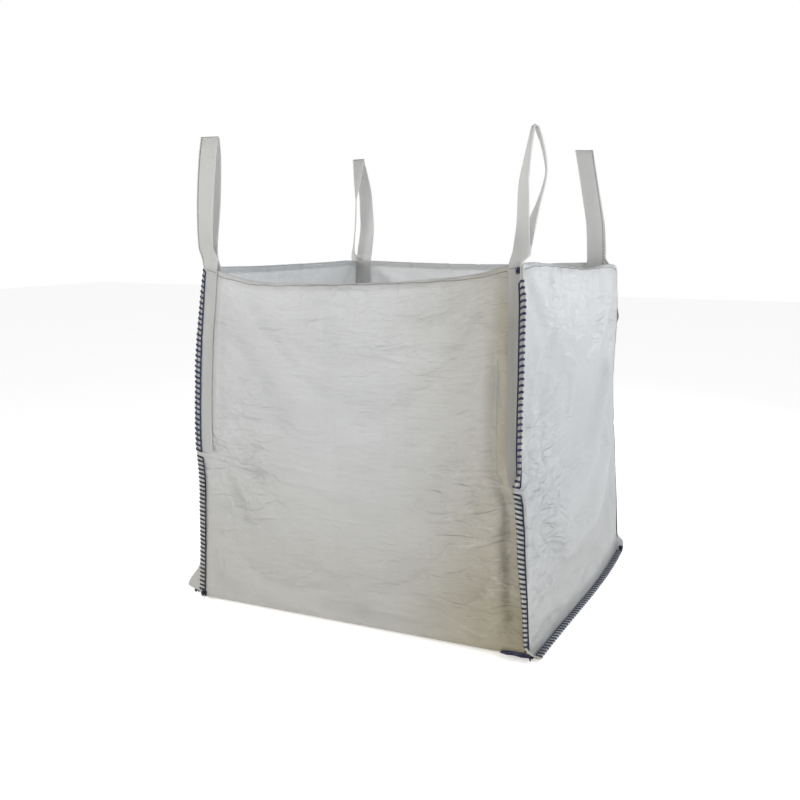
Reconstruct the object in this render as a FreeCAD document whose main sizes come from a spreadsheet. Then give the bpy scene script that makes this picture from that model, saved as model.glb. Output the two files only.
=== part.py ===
import FreeCAD, Part
import math
import os
import Sketcher

# Open-top woven bulk bag, in millimetres. One long cloth makes the front wall, the base and the
# back wall. Two side panels are sewn into it with fins that stand outwards. Each corner has one
# webbing strap: a tail sewn to each face of the wall and a loop that stands above the rim.
# Frame: +Z up, origin at the centre of the underside, front wall towards -Y.

DIMENSIONS = {
    "bag_width": 900,
    "bag_depth": 900,
    "bag_height": 900,
    "top_inset": 22,  # how far each wall leans in by the time it reaches the rim
    "cloth": 2,
    "layer_gap": 0.3,
    "fold_radius": 30,
    "fin_width": 24,
    "hem_depth": 16,
    "hem_end": 104,  # the hem's second layer stops this far from a corner, beside the webbing
    "thread": 1.5,
    "stitch_band": 16,
    "hem_thread": 1.2,
    "web_width": 52,
    "web_thick": 2.5,
    "tail_length": 480,
    "tail_over": 2,  # how far the tails reach above the rim
    "outer_tail_edge": 24,
    "inner_tail_edge": 2,
    "hinge_rise": 10,
    "hinge_clear": 3,
    "loop_height": 335,
    "bulge_outer": 15,
    "bulge_inner": 28,
    "eye_start": 14,
    "crown_thick": 6,
    "neck_front_left": 100,
    "neck_front_right": 104,
    "neck_back_left": 42,
    "neck_back_right": 100,
    "twist_front_left": 15,
    "twist_front_right": -30,
    "twist_back_left": -22,
    "twist_back_right": 22,
    "inward_front_left": 4,  # how far the loop's middle is from the corner, along the wall
    "inward_front_right": 4,
    "inward_back_left": 4,
    "inward_back_right": 44,
}

# Which way each corner points: +1 is right or back, -1 is left or front.
CORNERS = {
    "front_left": (-1, -1),
    "front_right": (1, -1),
    "back_left": (-1, 1),
    "back_right": (1, 1),
}

SAME_PLACE = 0.01  # two points closer than this are one point
SAME_WAY = 0.001  # two unit vectors whose cross product is shorter than this are parallel
NEAR_FLOOR = 10  # an edge whose ends are both lower than this belongs to the fold at the floor

AXIS_X = FreeCAD.Vector(1, 0, 0)
AXIS_Y = FreeCAD.Vector(0, 1, 0)
AXIS_Z = FreeCAD.Vector(0, 0, 1)


class Size:
    """A length: its value in millimetres, and the expression that binds it to the sheet."""

    def __init__(self, value, text):
        self.value = float(value)
        self.text = text

    def __add__(self, other):
        other = as_size(other)
        return Size(self.value + other.value, f"({self.text} + {other.text})")

    def __sub__(self, other):
        other = as_size(other)
        return Size(self.value - other.value, f"({self.text} - {other.text})")

    def __mul__(self, other):
        other = as_size(other)
        return Size(self.value * other.value, f"({self.text} * {other.text})")

    def __truediv__(self, other):
        other = as_size(other)
        return Size(self.value / other.value, f"({self.text} / {other.text})")

    def __neg__(self):
        return Size(-self.value, f"(-1 * {self.text})")


def as_size(number):
    return number if isinstance(number, Size) else Size(number, str(number))


def make_sheet(doc):
    """Write the driving dimensions and return each one as a Size."""
    sheet = doc.addObject("Spreadsheet::Sheet", "dims")
    for row, (alias, number) in enumerate(DIMENSIONS.items(), start=1):
        sheet.set(f"A{row}", alias)
        sheet.set(f"B{row}", str(number))
        sheet.setAlias(f"B{row}", alias)
    doc.recompute()
    return {alias: Size(sheet.get(alias), f"dims.{alias}") for alias in DIMENSIONS}


def new_body(doc, label):
    body = doc.addObject("PartDesign::Body", label)
    body.Label = label
    return body


def new_sketch(body, name, role, offset=None):
    """A sketch on one of the body's own origin planes, moved off it by offset."""
    sketch = body.newObject("Sketcher::SketchObject", f"{body.Name}_{name}")
    plane = next(item for item in body.Origin.OriginFeatures if item.Role == role)
    sketch.AttachmentSupport = [(plane, "")]
    sketch.MapMode = "FlatFace"
    if offset is not None:
        sketch.setExpression("AttachmentOffset.Base.z", offset.text)
    return sketch


def pin(sketch, edge, end, across, up):
    """Hold one end of an edge at a place given by two sizes."""
    for kind, place in (("DistanceX", as_size(across)), ("DistanceY", as_size(up))):
        index = sketch.addConstraint(Sketcher.Constraint(kind, -1, 1, edge, end, place.value))
        sketch.setExpression(f"Constraints[{index}]", place.text)


def flat_vector(across, up):
    return FreeCAD.Vector(as_size(across).value, as_size(up).value, 0)


def outline(sketch, corners):
    """A closed outline of straight sides with every corner pinned."""
    count = len(corners)
    for start, end in zip(corners, corners[1:] + corners[:1]):
        sketch.addGeometry(Part.LineSegment(flat_vector(*start), flat_vector(*end)))
    for side in range(count):
        sketch.addConstraint(Sketcher.Constraint("Coincident", side, 2, (side + 1) % count, 1))
    for side, corner in enumerate(corners):
        pin(sketch, side, 1, *corner)


def bulging_arc(sketch, start, end, sag, side):
    """An arc from start to end, anticlockwise, whose middle stands off its chord by sag."""
    first = flat_vector(*start)
    last = flat_vector(*end)
    middle = (first + last) * 0.5 + FreeCAD.Vector(side * sag.value, 0, 0)
    edge = sketch.addGeometry(Part.Arc(first, middle, last))
    across = as_size(start[0]) - end[0]
    up = as_size(start[1]) - end[1]
    radius = ((across * across + up * up) / 4 + sag * sag) / (sag * 2)
    index = sketch.addConstraint(Sketcher.Constraint("Radius", edge, radius.value))
    sketch.setExpression(f"Constraints[{index}]", radius.text)
    return edge


def pad(body, sketch, length, midplane=False):
    feature = body.newObject("PartDesign::Pad", f"{sketch.Name}_pad")
    feature.Profile = sketch
    feature.setExpression("Length", length.text)
    feature.Midplane = midplane
    return feature


def pocket_through(doc, body, sketch):
    """Cut a sketch right through the body, both ways, and make sure that it cuts."""
    doc.recompute()
    before = body.Shape.Volume
    feature = body.newObject("PartDesign::Pocket", f"{sketch.Name}_cut")
    feature.Profile = sketch
    feature.Type = "ThroughAll"
    feature.Midplane = True
    doc.recompute()
    if body.Shape.Volume >= before:
        raise RuntimeError(f"{feature.Name} cuts nothing")


def round_low_edges(doc, body, base, radii):
    """Fillet the edges that run along X near the floor; radii is for the outer and inner pair."""
    doc.recompute()
    chosen = {"outer": [], "inner": []}
    for number, edge in enumerate(base.Shape.Edges, start=1):
        ends = [vertex.Point for vertex in edge.Vertexes]
        if len(ends) < 2 or (ends[1] - ends[0]).normalize().cross(AXIS_X).Length > SAME_WAY:
            continue
        if max(point.z for point in ends) > NEAR_FLOOR:
            continue
        ring = "outer" if abs(ends[0].z - lowest(base)) < SAME_PLACE else "inner"
        chosen[ring].append(f"Edge{number}")
    feature = base
    for ring, radius in radii.items():
        fillet = body.newObject("PartDesign::Fillet", f"{body.Name}_{ring}_fold")
        names = chosen[ring] if feature is base else matching_edges(feature, base, chosen[ring])
        fillet.Base = (feature, names)
        fillet.setExpression("Radius", radius.text)
        doc.recompute()
        feature = fillet
    return feature


def lowest(feature):
    return feature.Shape.BoundBox.ZMin


def matching_edges(feature, base, names):
    """Find the edges of base again on a later feature, by where their middles are."""
    wanted = [base.Shape.getElement(name).CenterOfMass for name in names]
    found = []
    for number, edge in enumerate(feature.Shape.Edges, start=1):
        if any((edge.CenterOfMass - place).Length < SAME_PLACE for place in wanted):
            found.append(f"Edge{number}")
    return found


def lean_at_rim(d):
    """The angle, in degrees, by which every wall leans in."""
    return math.degrees(math.atan2(d["top_inset"].value, d["bag_height"].value))


def wall_profile(d, drop, low):
    """Four corners of the bag's section in YZ, drop inside its outer faces, from low to the rim."""
    half_depth = d["bag_depth"] / 2 - drop
    rim = half_depth - d["top_inset"]
    height = d["bag_height"]
    return [(-rim, height), (-half_depth, low), (half_depth, low), (rim, height)]


def make_body_panel(doc, d):
    """Front wall, base and back wall in one cloth, with a folded hem at both ends."""
    body = new_body(doc, "body_panel")
    ring = new_sketch(body, "ring", "YZ_Plane")
    outer = wall_profile(d, as_size(0), as_size(0))
    inner = wall_profile(d, d["cloth"], d["cloth"])
    outline(ring, outer + inner[::-1])
    across = d["bag_width"] + d["fin_width"] * 2
    wall = pad(body, ring, across, midplane=True)
    folds = {"outer": d["fold_radius"], "inner": d["fold_radius"] - d["cloth"]}
    round_low_edges(doc, body, wall, folds)
    trim_edges(doc, body, d)
    hem_across = d["bag_width"] - d["top_inset"] * 2 - d["hem_end"] * 2
    for side in (-1, 1):
        hem = new_sketch(body, f"hem{side + 1}", "YZ_Plane")
        outline(hem, hem_corners(d, d["bag_depth"] / 2 - d["cloth"], side))
        pad(body, hem, hem_across, midplane=True)
    return body


def hem_corners(d, low_face, side):
    """The hem's second layer, inside a wall whose inner face is at low_face on the floor."""
    rim = low_face - d["top_inset"]
    foot = rim + d["top_inset"] * d["hem_depth"] / d["bag_height"]
    top = d["bag_height"]
    low = top - d["hem_depth"]
    return [
        (rim * side, top),
        ((rim - d["cloth"]) * side, top),
        ((foot - d["cloth"]) * side, low),
        (foot * side, low),
    ]


def trim_edges(doc, body, d):
    """Cut both long edges so that the wall narrows towards the rim."""
    wide = d["bag_width"] / 2 + d["fin_width"]
    narrow = wide - d["top_inset"]
    beyond = wide + d["fin_width"]
    top = d["bag_height"]
    for side in (-1, 1):
        cut = new_sketch(body, f"trim{side + 1}", "XZ_Plane")
        above = top + d["cloth"]
        corners = [(wide, 0), (beyond, 0), (beyond, above), (narrow, above), (narrow, top)]
        outline(cut, [(as_size(across) * side, up) for across, up in corners])
        pocket_through(doc, body, cut)


def make_side_panel(doc, d, label, side):
    """One side wall: a plate with a flange on three sides, turned out to lie on the other cloth."""
    body = new_body(doc, label)
    inside = d["cloth"] + d["layer_gap"]
    start = -d["cloth"]
    block_sketch = new_sketch(body, "block", "YZ_Plane", start)
    outline(block_sketch, wall_profile(d, inside, inside))
    block = pad(body, block_sketch, d["cloth"] + d["fin_width"])
    rounded = round_low_edges(doc, body, block, {"outer": d["fold_radius"] - inside})
    tray = body.newObject("PartDesign::Thickness", f"{body.Name}_tray")
    tray.Base = (rounded, open_faces(rounded))
    tray.setExpression("Value", d["cloth"].text)
    tray.Reversed = True
    add_side_hem(body, d)
    doc.recompute()
    lean = FreeCAD.Rotation(AXIS_Y, -lean_at_rim(d))
    turn = FreeCAD.Rotation(AXIS_Z, 0 if side > 0 else 180)
    body.Placement = FreeCAD.Placement(FreeCAD.Vector(side * d["bag_width"].value / 2, 0, 0), turn * lean)
    return body


def open_faces(feature):
    """The faces that stay open in the tray: the outer one and the one at the rim."""
    names = []
    box = feature.Shape.BoundBox
    for number, face in enumerate(feature.Shape.Faces, start=1):
        middle = face.CenterOfMass
        if abs(middle.x - box.XMax) < SAME_PLACE or abs(middle.z - box.ZMax) < SAME_PLACE:
            names.append(f"Face{number}")
    return names


def add_side_hem(body, d):
    """The second layer of the side panel's hem, on its inner face and clear of the webbing."""
    hem = new_sketch(body, "hem", "YZ_Plane", -d["cloth"] * 2)
    half = d["bag_depth"] / 2 - d["top_inset"] - d["cloth"] * 2 - d["web_thick"] * 2
    low = d["bag_height"] - d["hem_depth"]
    outline(hem, [(-half, d["bag_height"]), (-half, low), (half, low), (half, d["bag_height"])])
    pad(body, hem, d["cloth"])


def corner_placement(d, corner):
    """The frame of a corner's edge at the rim: its Z runs up the leaning edge."""
    right, back = CORNERS[corner]
    lean = lean_at_rim(d)
    across = d["bag_width"].value / 2 - d["top_inset"].value
    along = d["bag_depth"].value / 2 - d["top_inset"].value
    turn = FreeCAD.Rotation(AXIS_X, back * lean) * FreeCAD.Rotation(AXIS_Y, -right * lean)
    return FreeCAD.Placement(FreeCAD.Vector(right * across, back * along, d["bag_height"].value), turn)


def make_bar(doc, d, label, corner, section, low, high):
    """A straight piece that runs along a corner edge, from low to high below the rim."""
    right, back = CORNERS[corner]
    body = new_body(doc, label)
    sketch = new_sketch(body, "section", "XY_Plane", low)
    outline(sketch, [(as_size(across) * right, as_size(out) * back) for across, out in section])
    pad(body, sketch, high - low)
    body.Placement = corner_placement(d, corner)
    return body


def rectangle(left, right, low, high):
    return [(left, low), (right, low), (right, high), (left, high)]


def make_tails(doc, d, corner):
    """The two ends of the strap, sewn to the wall's outer and inner faces."""
    thick = d["web_thick"]
    low = -d["tail_length"]
    outer_right = d["outer_tail_edge"]
    outer = rectangle(outer_right - d["web_width"], outer_right, d["layer_gap"], d["layer_gap"] + thick)
    inner_right = -(d["inner_tail_edge"] + d[f"inward_{corner}"])
    inner_face = -d["cloth"] - d["layer_gap"]
    inner = rectangle(inner_right - d["web_width"], inner_right, inner_face - thick, inner_face)
    return [
        make_bar(doc, d, f"outer_tail_{corner}", corner, outer, low, d["tail_over"]),
        make_bar(doc, d, f"inner_tail_{corner}", corner, inner, low, d["tail_over"]),
    ]


def overlock_section(d, outer_face):
    """A channel of thread that wraps the fin's edge; outer_face is the face it wraps."""
    first = d["fin_width"] - d["stitch_band"]
    inner_edge = d["fin_width"] + d["layer_gap"]
    outer_edge = inner_edge + d["thread"]
    inner_face = -d["cloth"] * 2 - d["layer_gap"] * 2
    return [
        (first, outer_face),
        (inner_edge, outer_face),
        (inner_edge, inner_face),
        (first, inner_face),
        (first, inner_face - d["thread"]),
        (outer_edge, inner_face - d["thread"]),
        (outer_edge, outer_face + d["thread"]),
        (first, outer_face + d["thread"]),
    ]


def make_overlocks(doc, d, corner):
    """The edge stitching of one corner: one run over the webbing, one run below it."""
    over_web = overlock_section(d, d["layer_gap"] * 2 + d["web_thick"])
    over_cloth = overlock_section(d, d["layer_gap"])
    split = -d["tail_length"]
    foot = d["fold_radius"] - d["bag_height"]
    upper = make_bar(doc, d, f"upper_overlock_{corner}", corner, over_web, split, as_size(0))
    lower_top = split - d["layer_gap"]
    lower = make_bar(doc, d, f"lower_overlock_{corner}", corner, over_cloth, foot, lower_top)
    return [upper, lower]


def make_tack(doc, d, corner):
    """The row of stitches that crosses the outer tail just below the rim."""
    face = d["layer_gap"] * 2 + d["web_thick"]
    left = d["outer_tail_edge"] - d["web_width"]
    right = d["fin_width"] - d["stitch_band"] - d["hem_thread"]
    section = rectangle(left, right, face, face + d["hem_thread"])
    low = -d["stitch_band"]
    return make_bar(doc, d, f"tack_stitch_{corner}", corner, section, low, low + d["hem_thread"])


def make_base_overlock(doc, d, label, side):
    """Edge stitching along a fin that lies on the floor: over its top and its edge only."""
    body = new_body(doc, label)
    fin_top = d["cloth"] * 2 + d["layer_gap"] * 4
    edge = d["bag_width"] / 2 + d["fin_width"] + d["layer_gap"]
    first = edge - d["layer_gap"] - d["stitch_band"]
    section = [
        (first, fin_top),
        (edge, fin_top),
        (edge, d["layer_gap"]),
        (edge + d["thread"], d["layer_gap"]),
        (edge + d["thread"], fin_top + d["thread"]),
        (first, fin_top + d["thread"]),
    ]
    sketch = new_sketch(body, "section", "XZ_Plane")
    outline(sketch, [(across * side, up) for across, up in section])
    pad(body, sketch, d["bag_depth"] - d["fold_radius"] * 2, midplane=True)
    return body


def make_hem_thread(doc, d, side, across, face, turn):
    """One run of hem stitching, a thin bar just outside a wall, below the rim."""
    size = d["hem_thread"]
    bar = doc.addObject("Part::Box", f"hem_thread_{side}")
    bar.Label = f"hem_thread_{side}"
    bar.setExpression("Length", across.text)
    bar.setExpression("Width", size.text)
    bar.setExpression("Height", size.text)
    height = (d["bag_height"] - d["hem_depth"] + d["cloth"]).value
    start = FreeCAD.Vector(-across.value / 2, -face.value - size.value, height)
    middle = FreeCAD.Placement(start, FreeCAD.Rotation())
    bar.Placement = FreeCAD.Placement(FreeCAD.Vector(), FreeCAD.Rotation(AXIS_Z, turn)) * middle
    return bar


def make_hem_threads(doc, d):
    lean_here = d["top_inset"] * d["hem_depth"] / d["bag_height"]
    face = d["bag_width"] / 2 - d["top_inset"] + lean_here + d["layer_gap"]
    front = d["bag_width"] - d["top_inset"] * 2 - d["web_width"] * 2
    side = d["bag_depth"] - d["top_inset"] * 2 - d["stitch_band"] * 2
    runs = {"front": (front, 0), "right": (side, 90), "back": (front, 180), "left": (side, 270)}
    return [make_hem_thread(doc, d, name, across, face, turn) for name, (across, turn) in runs.items()]


def loop_foot(d, corner):
    """Where the loop's fold at the rim is: above the middle of the wall's cloth."""
    right, back = CORNERS[corner]
    across = d["bag_width"].value / 2 - d["top_inset"].value - d[f"inward_{corner}"].value
    along = d["bag_depth"].value / 2 - d["top_inset"].value - d["cloth"].value / 2
    return FreeCAD.Vector(right * across, back * along, (d["bag_height"] + d["hinge_rise"]).value)


def make_neck_leg(doc, d, corner, face, out):
    """One of the two layers of webbing between the rim and the eye, twisted on the way up."""
    body = new_body(doc, f"{face}_neck_{corner}")
    half = d["web_width"] / 2
    near = d["layer_gap"] / 2 * out
    far = (d["layer_gap"] / 2 + d["web_thick"]) * out
    top_height = d[f"neck_{corner}"] - d["hinge_clear"]
    foot = new_sketch(body, "foot", "XY_Plane")
    head = new_sketch(body, "head", "XY_Plane", top_height)
    twist = FreeCAD.Rotation(AXIS_Z, d[f"twist_{corner}"].value)
    head.AttachmentOffset = FreeCAD.Placement(FreeCAD.Vector(0, 0, top_height.value), twist)
    head.setExpression("AttachmentOffset.Base.z", top_height.text)
    for sketch in (foot, head):
        outline(sketch, rectangle(-half, half, near, far))
    loft = body.newObject("PartDesign::AdditiveLoft", f"{body.Name}_loft")
    loft.Profile = foot
    loft.Sections = [head]
    loft.Ruled = True
    body.Placement = FreeCAD.Placement(loop_foot(d, corner), FreeCAD.Rotation())
    return body


def leaf(sketch, low, high, foot_half, outer_sag, inner_sag, out):
    """A pointed leaf: two arcs from high to low, with a flat foot when foot_half isn't zero."""
    left_sag, right_sag = (inner_sag, outer_sag) if out > 0 else (outer_sag, inner_sag)
    left = bulging_arc(sketch, (0, high), (-foot_half, low), left_sag, -1)
    if foot_half.value > 0:
        base = sketch.addGeometry(Part.LineSegment(flat_vector(-foot_half, low), flat_vector(foot_half, low)))
        right = bulging_arc(sketch, (foot_half, low), (0, high), right_sag, 1)
        pairs = [(left, base), (base, right), (right, left)]
        pin(sketch, base, 1, -foot_half, low)
        pin(sketch, base, 2, foot_half, low)
    else:
        right = bulging_arc(sketch, (0, low), (0, high), right_sag, 1)
        pairs = [(left, right), (right, left)]
        pin(sketch, left, 2, 0, low)
    for first, second in pairs:
        sketch.addConstraint(Sketcher.Constraint("Coincident", first, 2, second, 1))
    pin(sketch, left, 1, 0, high)


def make_eye(doc, d, corner):
    """The open part of a loop: a band of webbing around a leaf-shaped gap, creased at its crown."""
    body = new_body(doc, f"eye_{corner}")
    out = CORNERS[corner][1]
    high = d["loop_height"] - d["hinge_rise"] - d[f"neck_{corner}"]
    foot_half = d["web_thick"] + d["layer_gap"] / 2
    grow = d["web_thick"] - foot_half / 2
    sketch = new_sketch(body, "band", "YZ_Plane")
    leaf(sketch, as_size(0), high, foot_half, d["bulge_outer"] + grow, d["bulge_inner"] + grow, out)
    band = pad(body, sketch, d["web_width"], midplane=True)
    doc.recompute()
    whole = band.Shape.Volume
    hole = new_sketch(body, "gap", "YZ_Plane")
    top = high - d["crown_thick"]
    leaf(hole, d["eye_start"], top, as_size(0), d["bulge_outer"], d["bulge_inner"], out)
    cut = body.newObject("PartDesign::Pocket", f"{body.Name}_cut")
    cut.Profile = hole
    cut.Type = "ThroughAll"
    cut.Midplane = True
    doc.recompute()
    if cut.Shape.Volume > whole / 2:
        raise RuntimeError(f"{body.Label} has no gap")
    place = loop_foot(d, corner) + FreeCAD.Vector(0, 0, d[f"neck_{corner}"].value)
    body.Placement = FreeCAD.Placement(place, FreeCAD.Rotation(AXIS_Z, d[f"twist_{corner}"].value))
    return body


def make_strap(doc, d, corner):
    """Everything of one corner's strap."""
    out = CORNERS[corner][1]
    pieces = make_tails(doc, d, corner)
    pieces.append(make_neck_leg(doc, d, corner, "outer", out))
    pieces.append(make_neck_leg(doc, d, corner, "inner", -out))
    pieces.append(make_eye(doc, d, corner))
    return pieces


def build(doc):
    d = make_sheet(doc)
    pieces = [make_body_panel(doc, d)]
    pieces.append(make_side_panel(doc, d, "side_panel_right", 1))
    pieces.append(make_side_panel(doc, d, "side_panel_left", -1))
    pieces.append(make_base_overlock(doc, d, "base_overlock_right", 1))
    pieces.append(make_base_overlock(doc, d, "base_overlock_left", -1))
    pieces.extend(make_hem_threads(doc, d))
    for corner in CORNERS:
        pieces.extend(make_overlocks(doc, d, corner))
        pieces.append(make_tack(doc, d, corner))
        pieces.extend(make_strap(doc, d, corner))
    doc.recompute()
    return pieces


def check_document(doc, pieces):
    """Stop if any object failed to build or any piece isn't one sound solid."""
    for item in doc.Objects:
        if "Invalid" in item.State or "Error" in item.State:
            raise RuntimeError(f"{item.Name} did not build: {item.State}")
    for piece in pieces:
        if piece.Shape.isNull() or not piece.Shape.isValid() or len(piece.Shape.Solids) != 1:
            raise RuntimeError(f"{piece.Label} is not one valid solid")


def export(pieces):
    os.makedirs("parts", exist_ok=True)
    for piece in pieces:
        piece.Shape.exportStep(f"parts/{piece.Label}.step")
        box = piece.Shape.BoundBox
        low = (round(box.XMin, 1), round(box.YMin, 1), round(box.ZMin, 1))
        high = (round(box.XMax, 1), round(box.YMax, 1), round(box.ZMax, 1))
        print(f"{piece.Label:30s} {low} {high} {piece.Shape.Volume / 1000:.1f} cm3")


document = FreeCAD.newDocument("bulk_bag")
all_pieces = build(document)
check_document(document, all_pieces)
export(all_pieces)
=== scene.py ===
import bmesh
import bpy
import math
from functools import cache
from mathutils import Matrix, Vector, noise
from mathutils.bvhtree import BVHTree
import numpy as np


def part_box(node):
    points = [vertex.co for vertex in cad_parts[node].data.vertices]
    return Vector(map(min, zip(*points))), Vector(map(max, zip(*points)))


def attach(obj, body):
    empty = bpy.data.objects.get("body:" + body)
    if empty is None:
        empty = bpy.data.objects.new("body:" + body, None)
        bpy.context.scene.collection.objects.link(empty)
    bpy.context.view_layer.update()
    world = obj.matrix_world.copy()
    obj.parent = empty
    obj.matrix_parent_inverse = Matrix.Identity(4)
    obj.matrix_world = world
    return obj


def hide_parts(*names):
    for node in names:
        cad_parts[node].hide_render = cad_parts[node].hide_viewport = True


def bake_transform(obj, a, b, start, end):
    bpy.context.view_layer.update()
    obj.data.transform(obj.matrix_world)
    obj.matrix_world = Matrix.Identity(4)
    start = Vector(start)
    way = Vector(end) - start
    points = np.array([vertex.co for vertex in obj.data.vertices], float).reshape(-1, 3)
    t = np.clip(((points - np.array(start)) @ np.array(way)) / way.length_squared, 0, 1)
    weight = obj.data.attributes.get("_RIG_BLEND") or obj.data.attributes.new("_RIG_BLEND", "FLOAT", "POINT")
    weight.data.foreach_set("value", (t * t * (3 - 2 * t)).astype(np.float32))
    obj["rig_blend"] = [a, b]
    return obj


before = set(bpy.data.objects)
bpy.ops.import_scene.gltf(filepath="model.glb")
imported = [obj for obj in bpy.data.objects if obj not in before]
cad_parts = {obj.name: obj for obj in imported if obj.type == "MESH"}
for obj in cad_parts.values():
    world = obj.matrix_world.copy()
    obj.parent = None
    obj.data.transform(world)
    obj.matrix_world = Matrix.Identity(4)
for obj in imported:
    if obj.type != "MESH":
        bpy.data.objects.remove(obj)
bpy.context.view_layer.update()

# A woven bulk bag standing open: one cloth for front, base and back, two side panels sewn in with
# fins that stand outwards, overlock stitching round the fins, a stitched hem and four webbing straps.
# Lengths are in metres. A place on the bag is given on a unit box: across and deep run from -1 (left,
# front) to 1 (right, back), and high runs from 0 (the floor) to 1 (the rim).

FIN = 0.024  # how far a seam's two cloths stand out past it
STITCH_BAND = 0.016  # how far a corner stitch reaches in from the fin's edge
BASE_BAND = 0.013  # the same for a base stitch
INSET = 0.022  # how far each wall leans in by the time it reaches the rim
CLOTH = 0.0014
CLOTH_GAP = 0.0022  # between the middles of the two cloths in a fin
HEM = 0.016
THREAD = 0.0011
FOLD = 0.030  # radius of the folds between the base and the front and back walls
WEB_WIDTH = 0.052
WEB_THICK = 0.0022
WEB_LIFT = 0.0030  # from the middle of the cloth to the middle of the webbing outside it
INNER_LIFT = 0.0054  # the same for the webbing inside
SHELL_CUTS = 55
PLACE = ("across", "deep", "high")
FRAMES = 26  # how many steps the cloth is given to settle
LARGEST_MOVE = 0.030  # no point of the cloth moves further than this while it settles
BASE_TILT = math.radians(6)
FLOOR_CLEAR = 0.0018  # how far the base cloth lies above the floor
HINGE_RISE = 0.010  # each loop folds this far above the rim
BEND_REACH = 0.011  # a fold at the rim is spread this far above and below its hinge
EYE_REACH = 0.012  # the same for the fold below an eye
UPPER_PITCH = 0.0138  # from one corner stitch to the next, over the webbing and below it
LOWER_PITCH = 0.0116
BASE_PITCH = 0.0160
HEM_STITCHES = 88
ROOM_LIGHT = 0.45  # how bright the world is on its dim side, where the other side is 1

node_box = cache(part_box)
RIM = node_box("body_panel")[1].z
HALF_X = node_box("body_panel")[1].x - FIN
HALF_Y = node_box("body_panel")[1].y
TAIL_LOW = node_box("outer_tail_front_right")[0].z

# The level directions square to the camera's view and along it, in which seams wander and loops lean.
SIDE = Vector((0.907, 0.421, 0.0))
AWAY = Vector((-0.421, 0.907, 0.0))

# Each corner: which way it points, how its edge wanders along SIDE and how its fin turns out of the
# wall's plane (degrees), both by share of the rim's height.
CORNERS = {
    "front_left": {
        "sign": (-1, -1),
        "wander": [(0.0, 0.000), (0.38, 0.001), (0.50, -0.010), (0.75, -0.009), (0.95, 0.000), (1.0, 0.002)],
        "turn": [(0.0, 20), (0.10, 8), (0.40, 20), (0.50, 8), (0.75, 4), (0.90, -14), (1.0, -30)],
    },
    "front_right": {
        "sign": (1, -1),
        "wander": [(0.0, 0.012), (0.2, 0.009), (0.42, 0.004), (0.48, -0.009), (0.56, -0.014), (0.75, -0.012),
                   (1.0, -0.011)],
        "turn": [(0.0, 80), (0.06, 95), (0.15, 108), (0.32, 140), (0.44, 150), (0.50, 76), (0.56, 62),
                 (0.72, 58), (0.90, 50), (0.96, 66), (1.0, 66)],
    },
    "back_left": {
        "sign": (-1, 1),
        "wander": [(0.0, 0.000), (0.5, -0.010), (1.0, -0.010)],
        "turn": [(0.0, 4), (0.5, 24), (1.0, 10)],
    },
    "back_right": {
        "sign": (1, 1),
        "wander": [(0.0, 0.020), (0.2, 0.018), (0.48, 0.008), (0.62, 0.006), (0.85, 0.016), (1.0, 0.014)],
        "turn": [(0.0, 60), (0.06, 112), (0.45, 132), (1.0, 132)],
    },
}

# How far the rim hangs below its straight line, by share of each wall. Below nought it is pulled up.
RIM_DIPS = {
    "front": [(0.0, -0.006), (0.06, 0.008), (0.18, 0.024), (0.5, 0.017), (0.75, 0.005), (0.88, -0.006),
              (0.95, -0.020), (1.0, -0.026)],
    "right": [(0.0, -0.026), (0.08, -0.031), (0.22, -0.028), (0.37, -0.020), (0.6, -0.008), (0.93, -0.003),
              (1.0, 0.010)],
    "back": [(0.0, 0.005), (0.1, 0.000), (0.5, -0.002), (0.92, -0.003), (1.0, 0.010)],
    "left": [(0.0, -0.006), (0.12, -0.008), (0.5, -0.010), (0.9, -0.004), (1.0, 0.005)],
}

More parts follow.
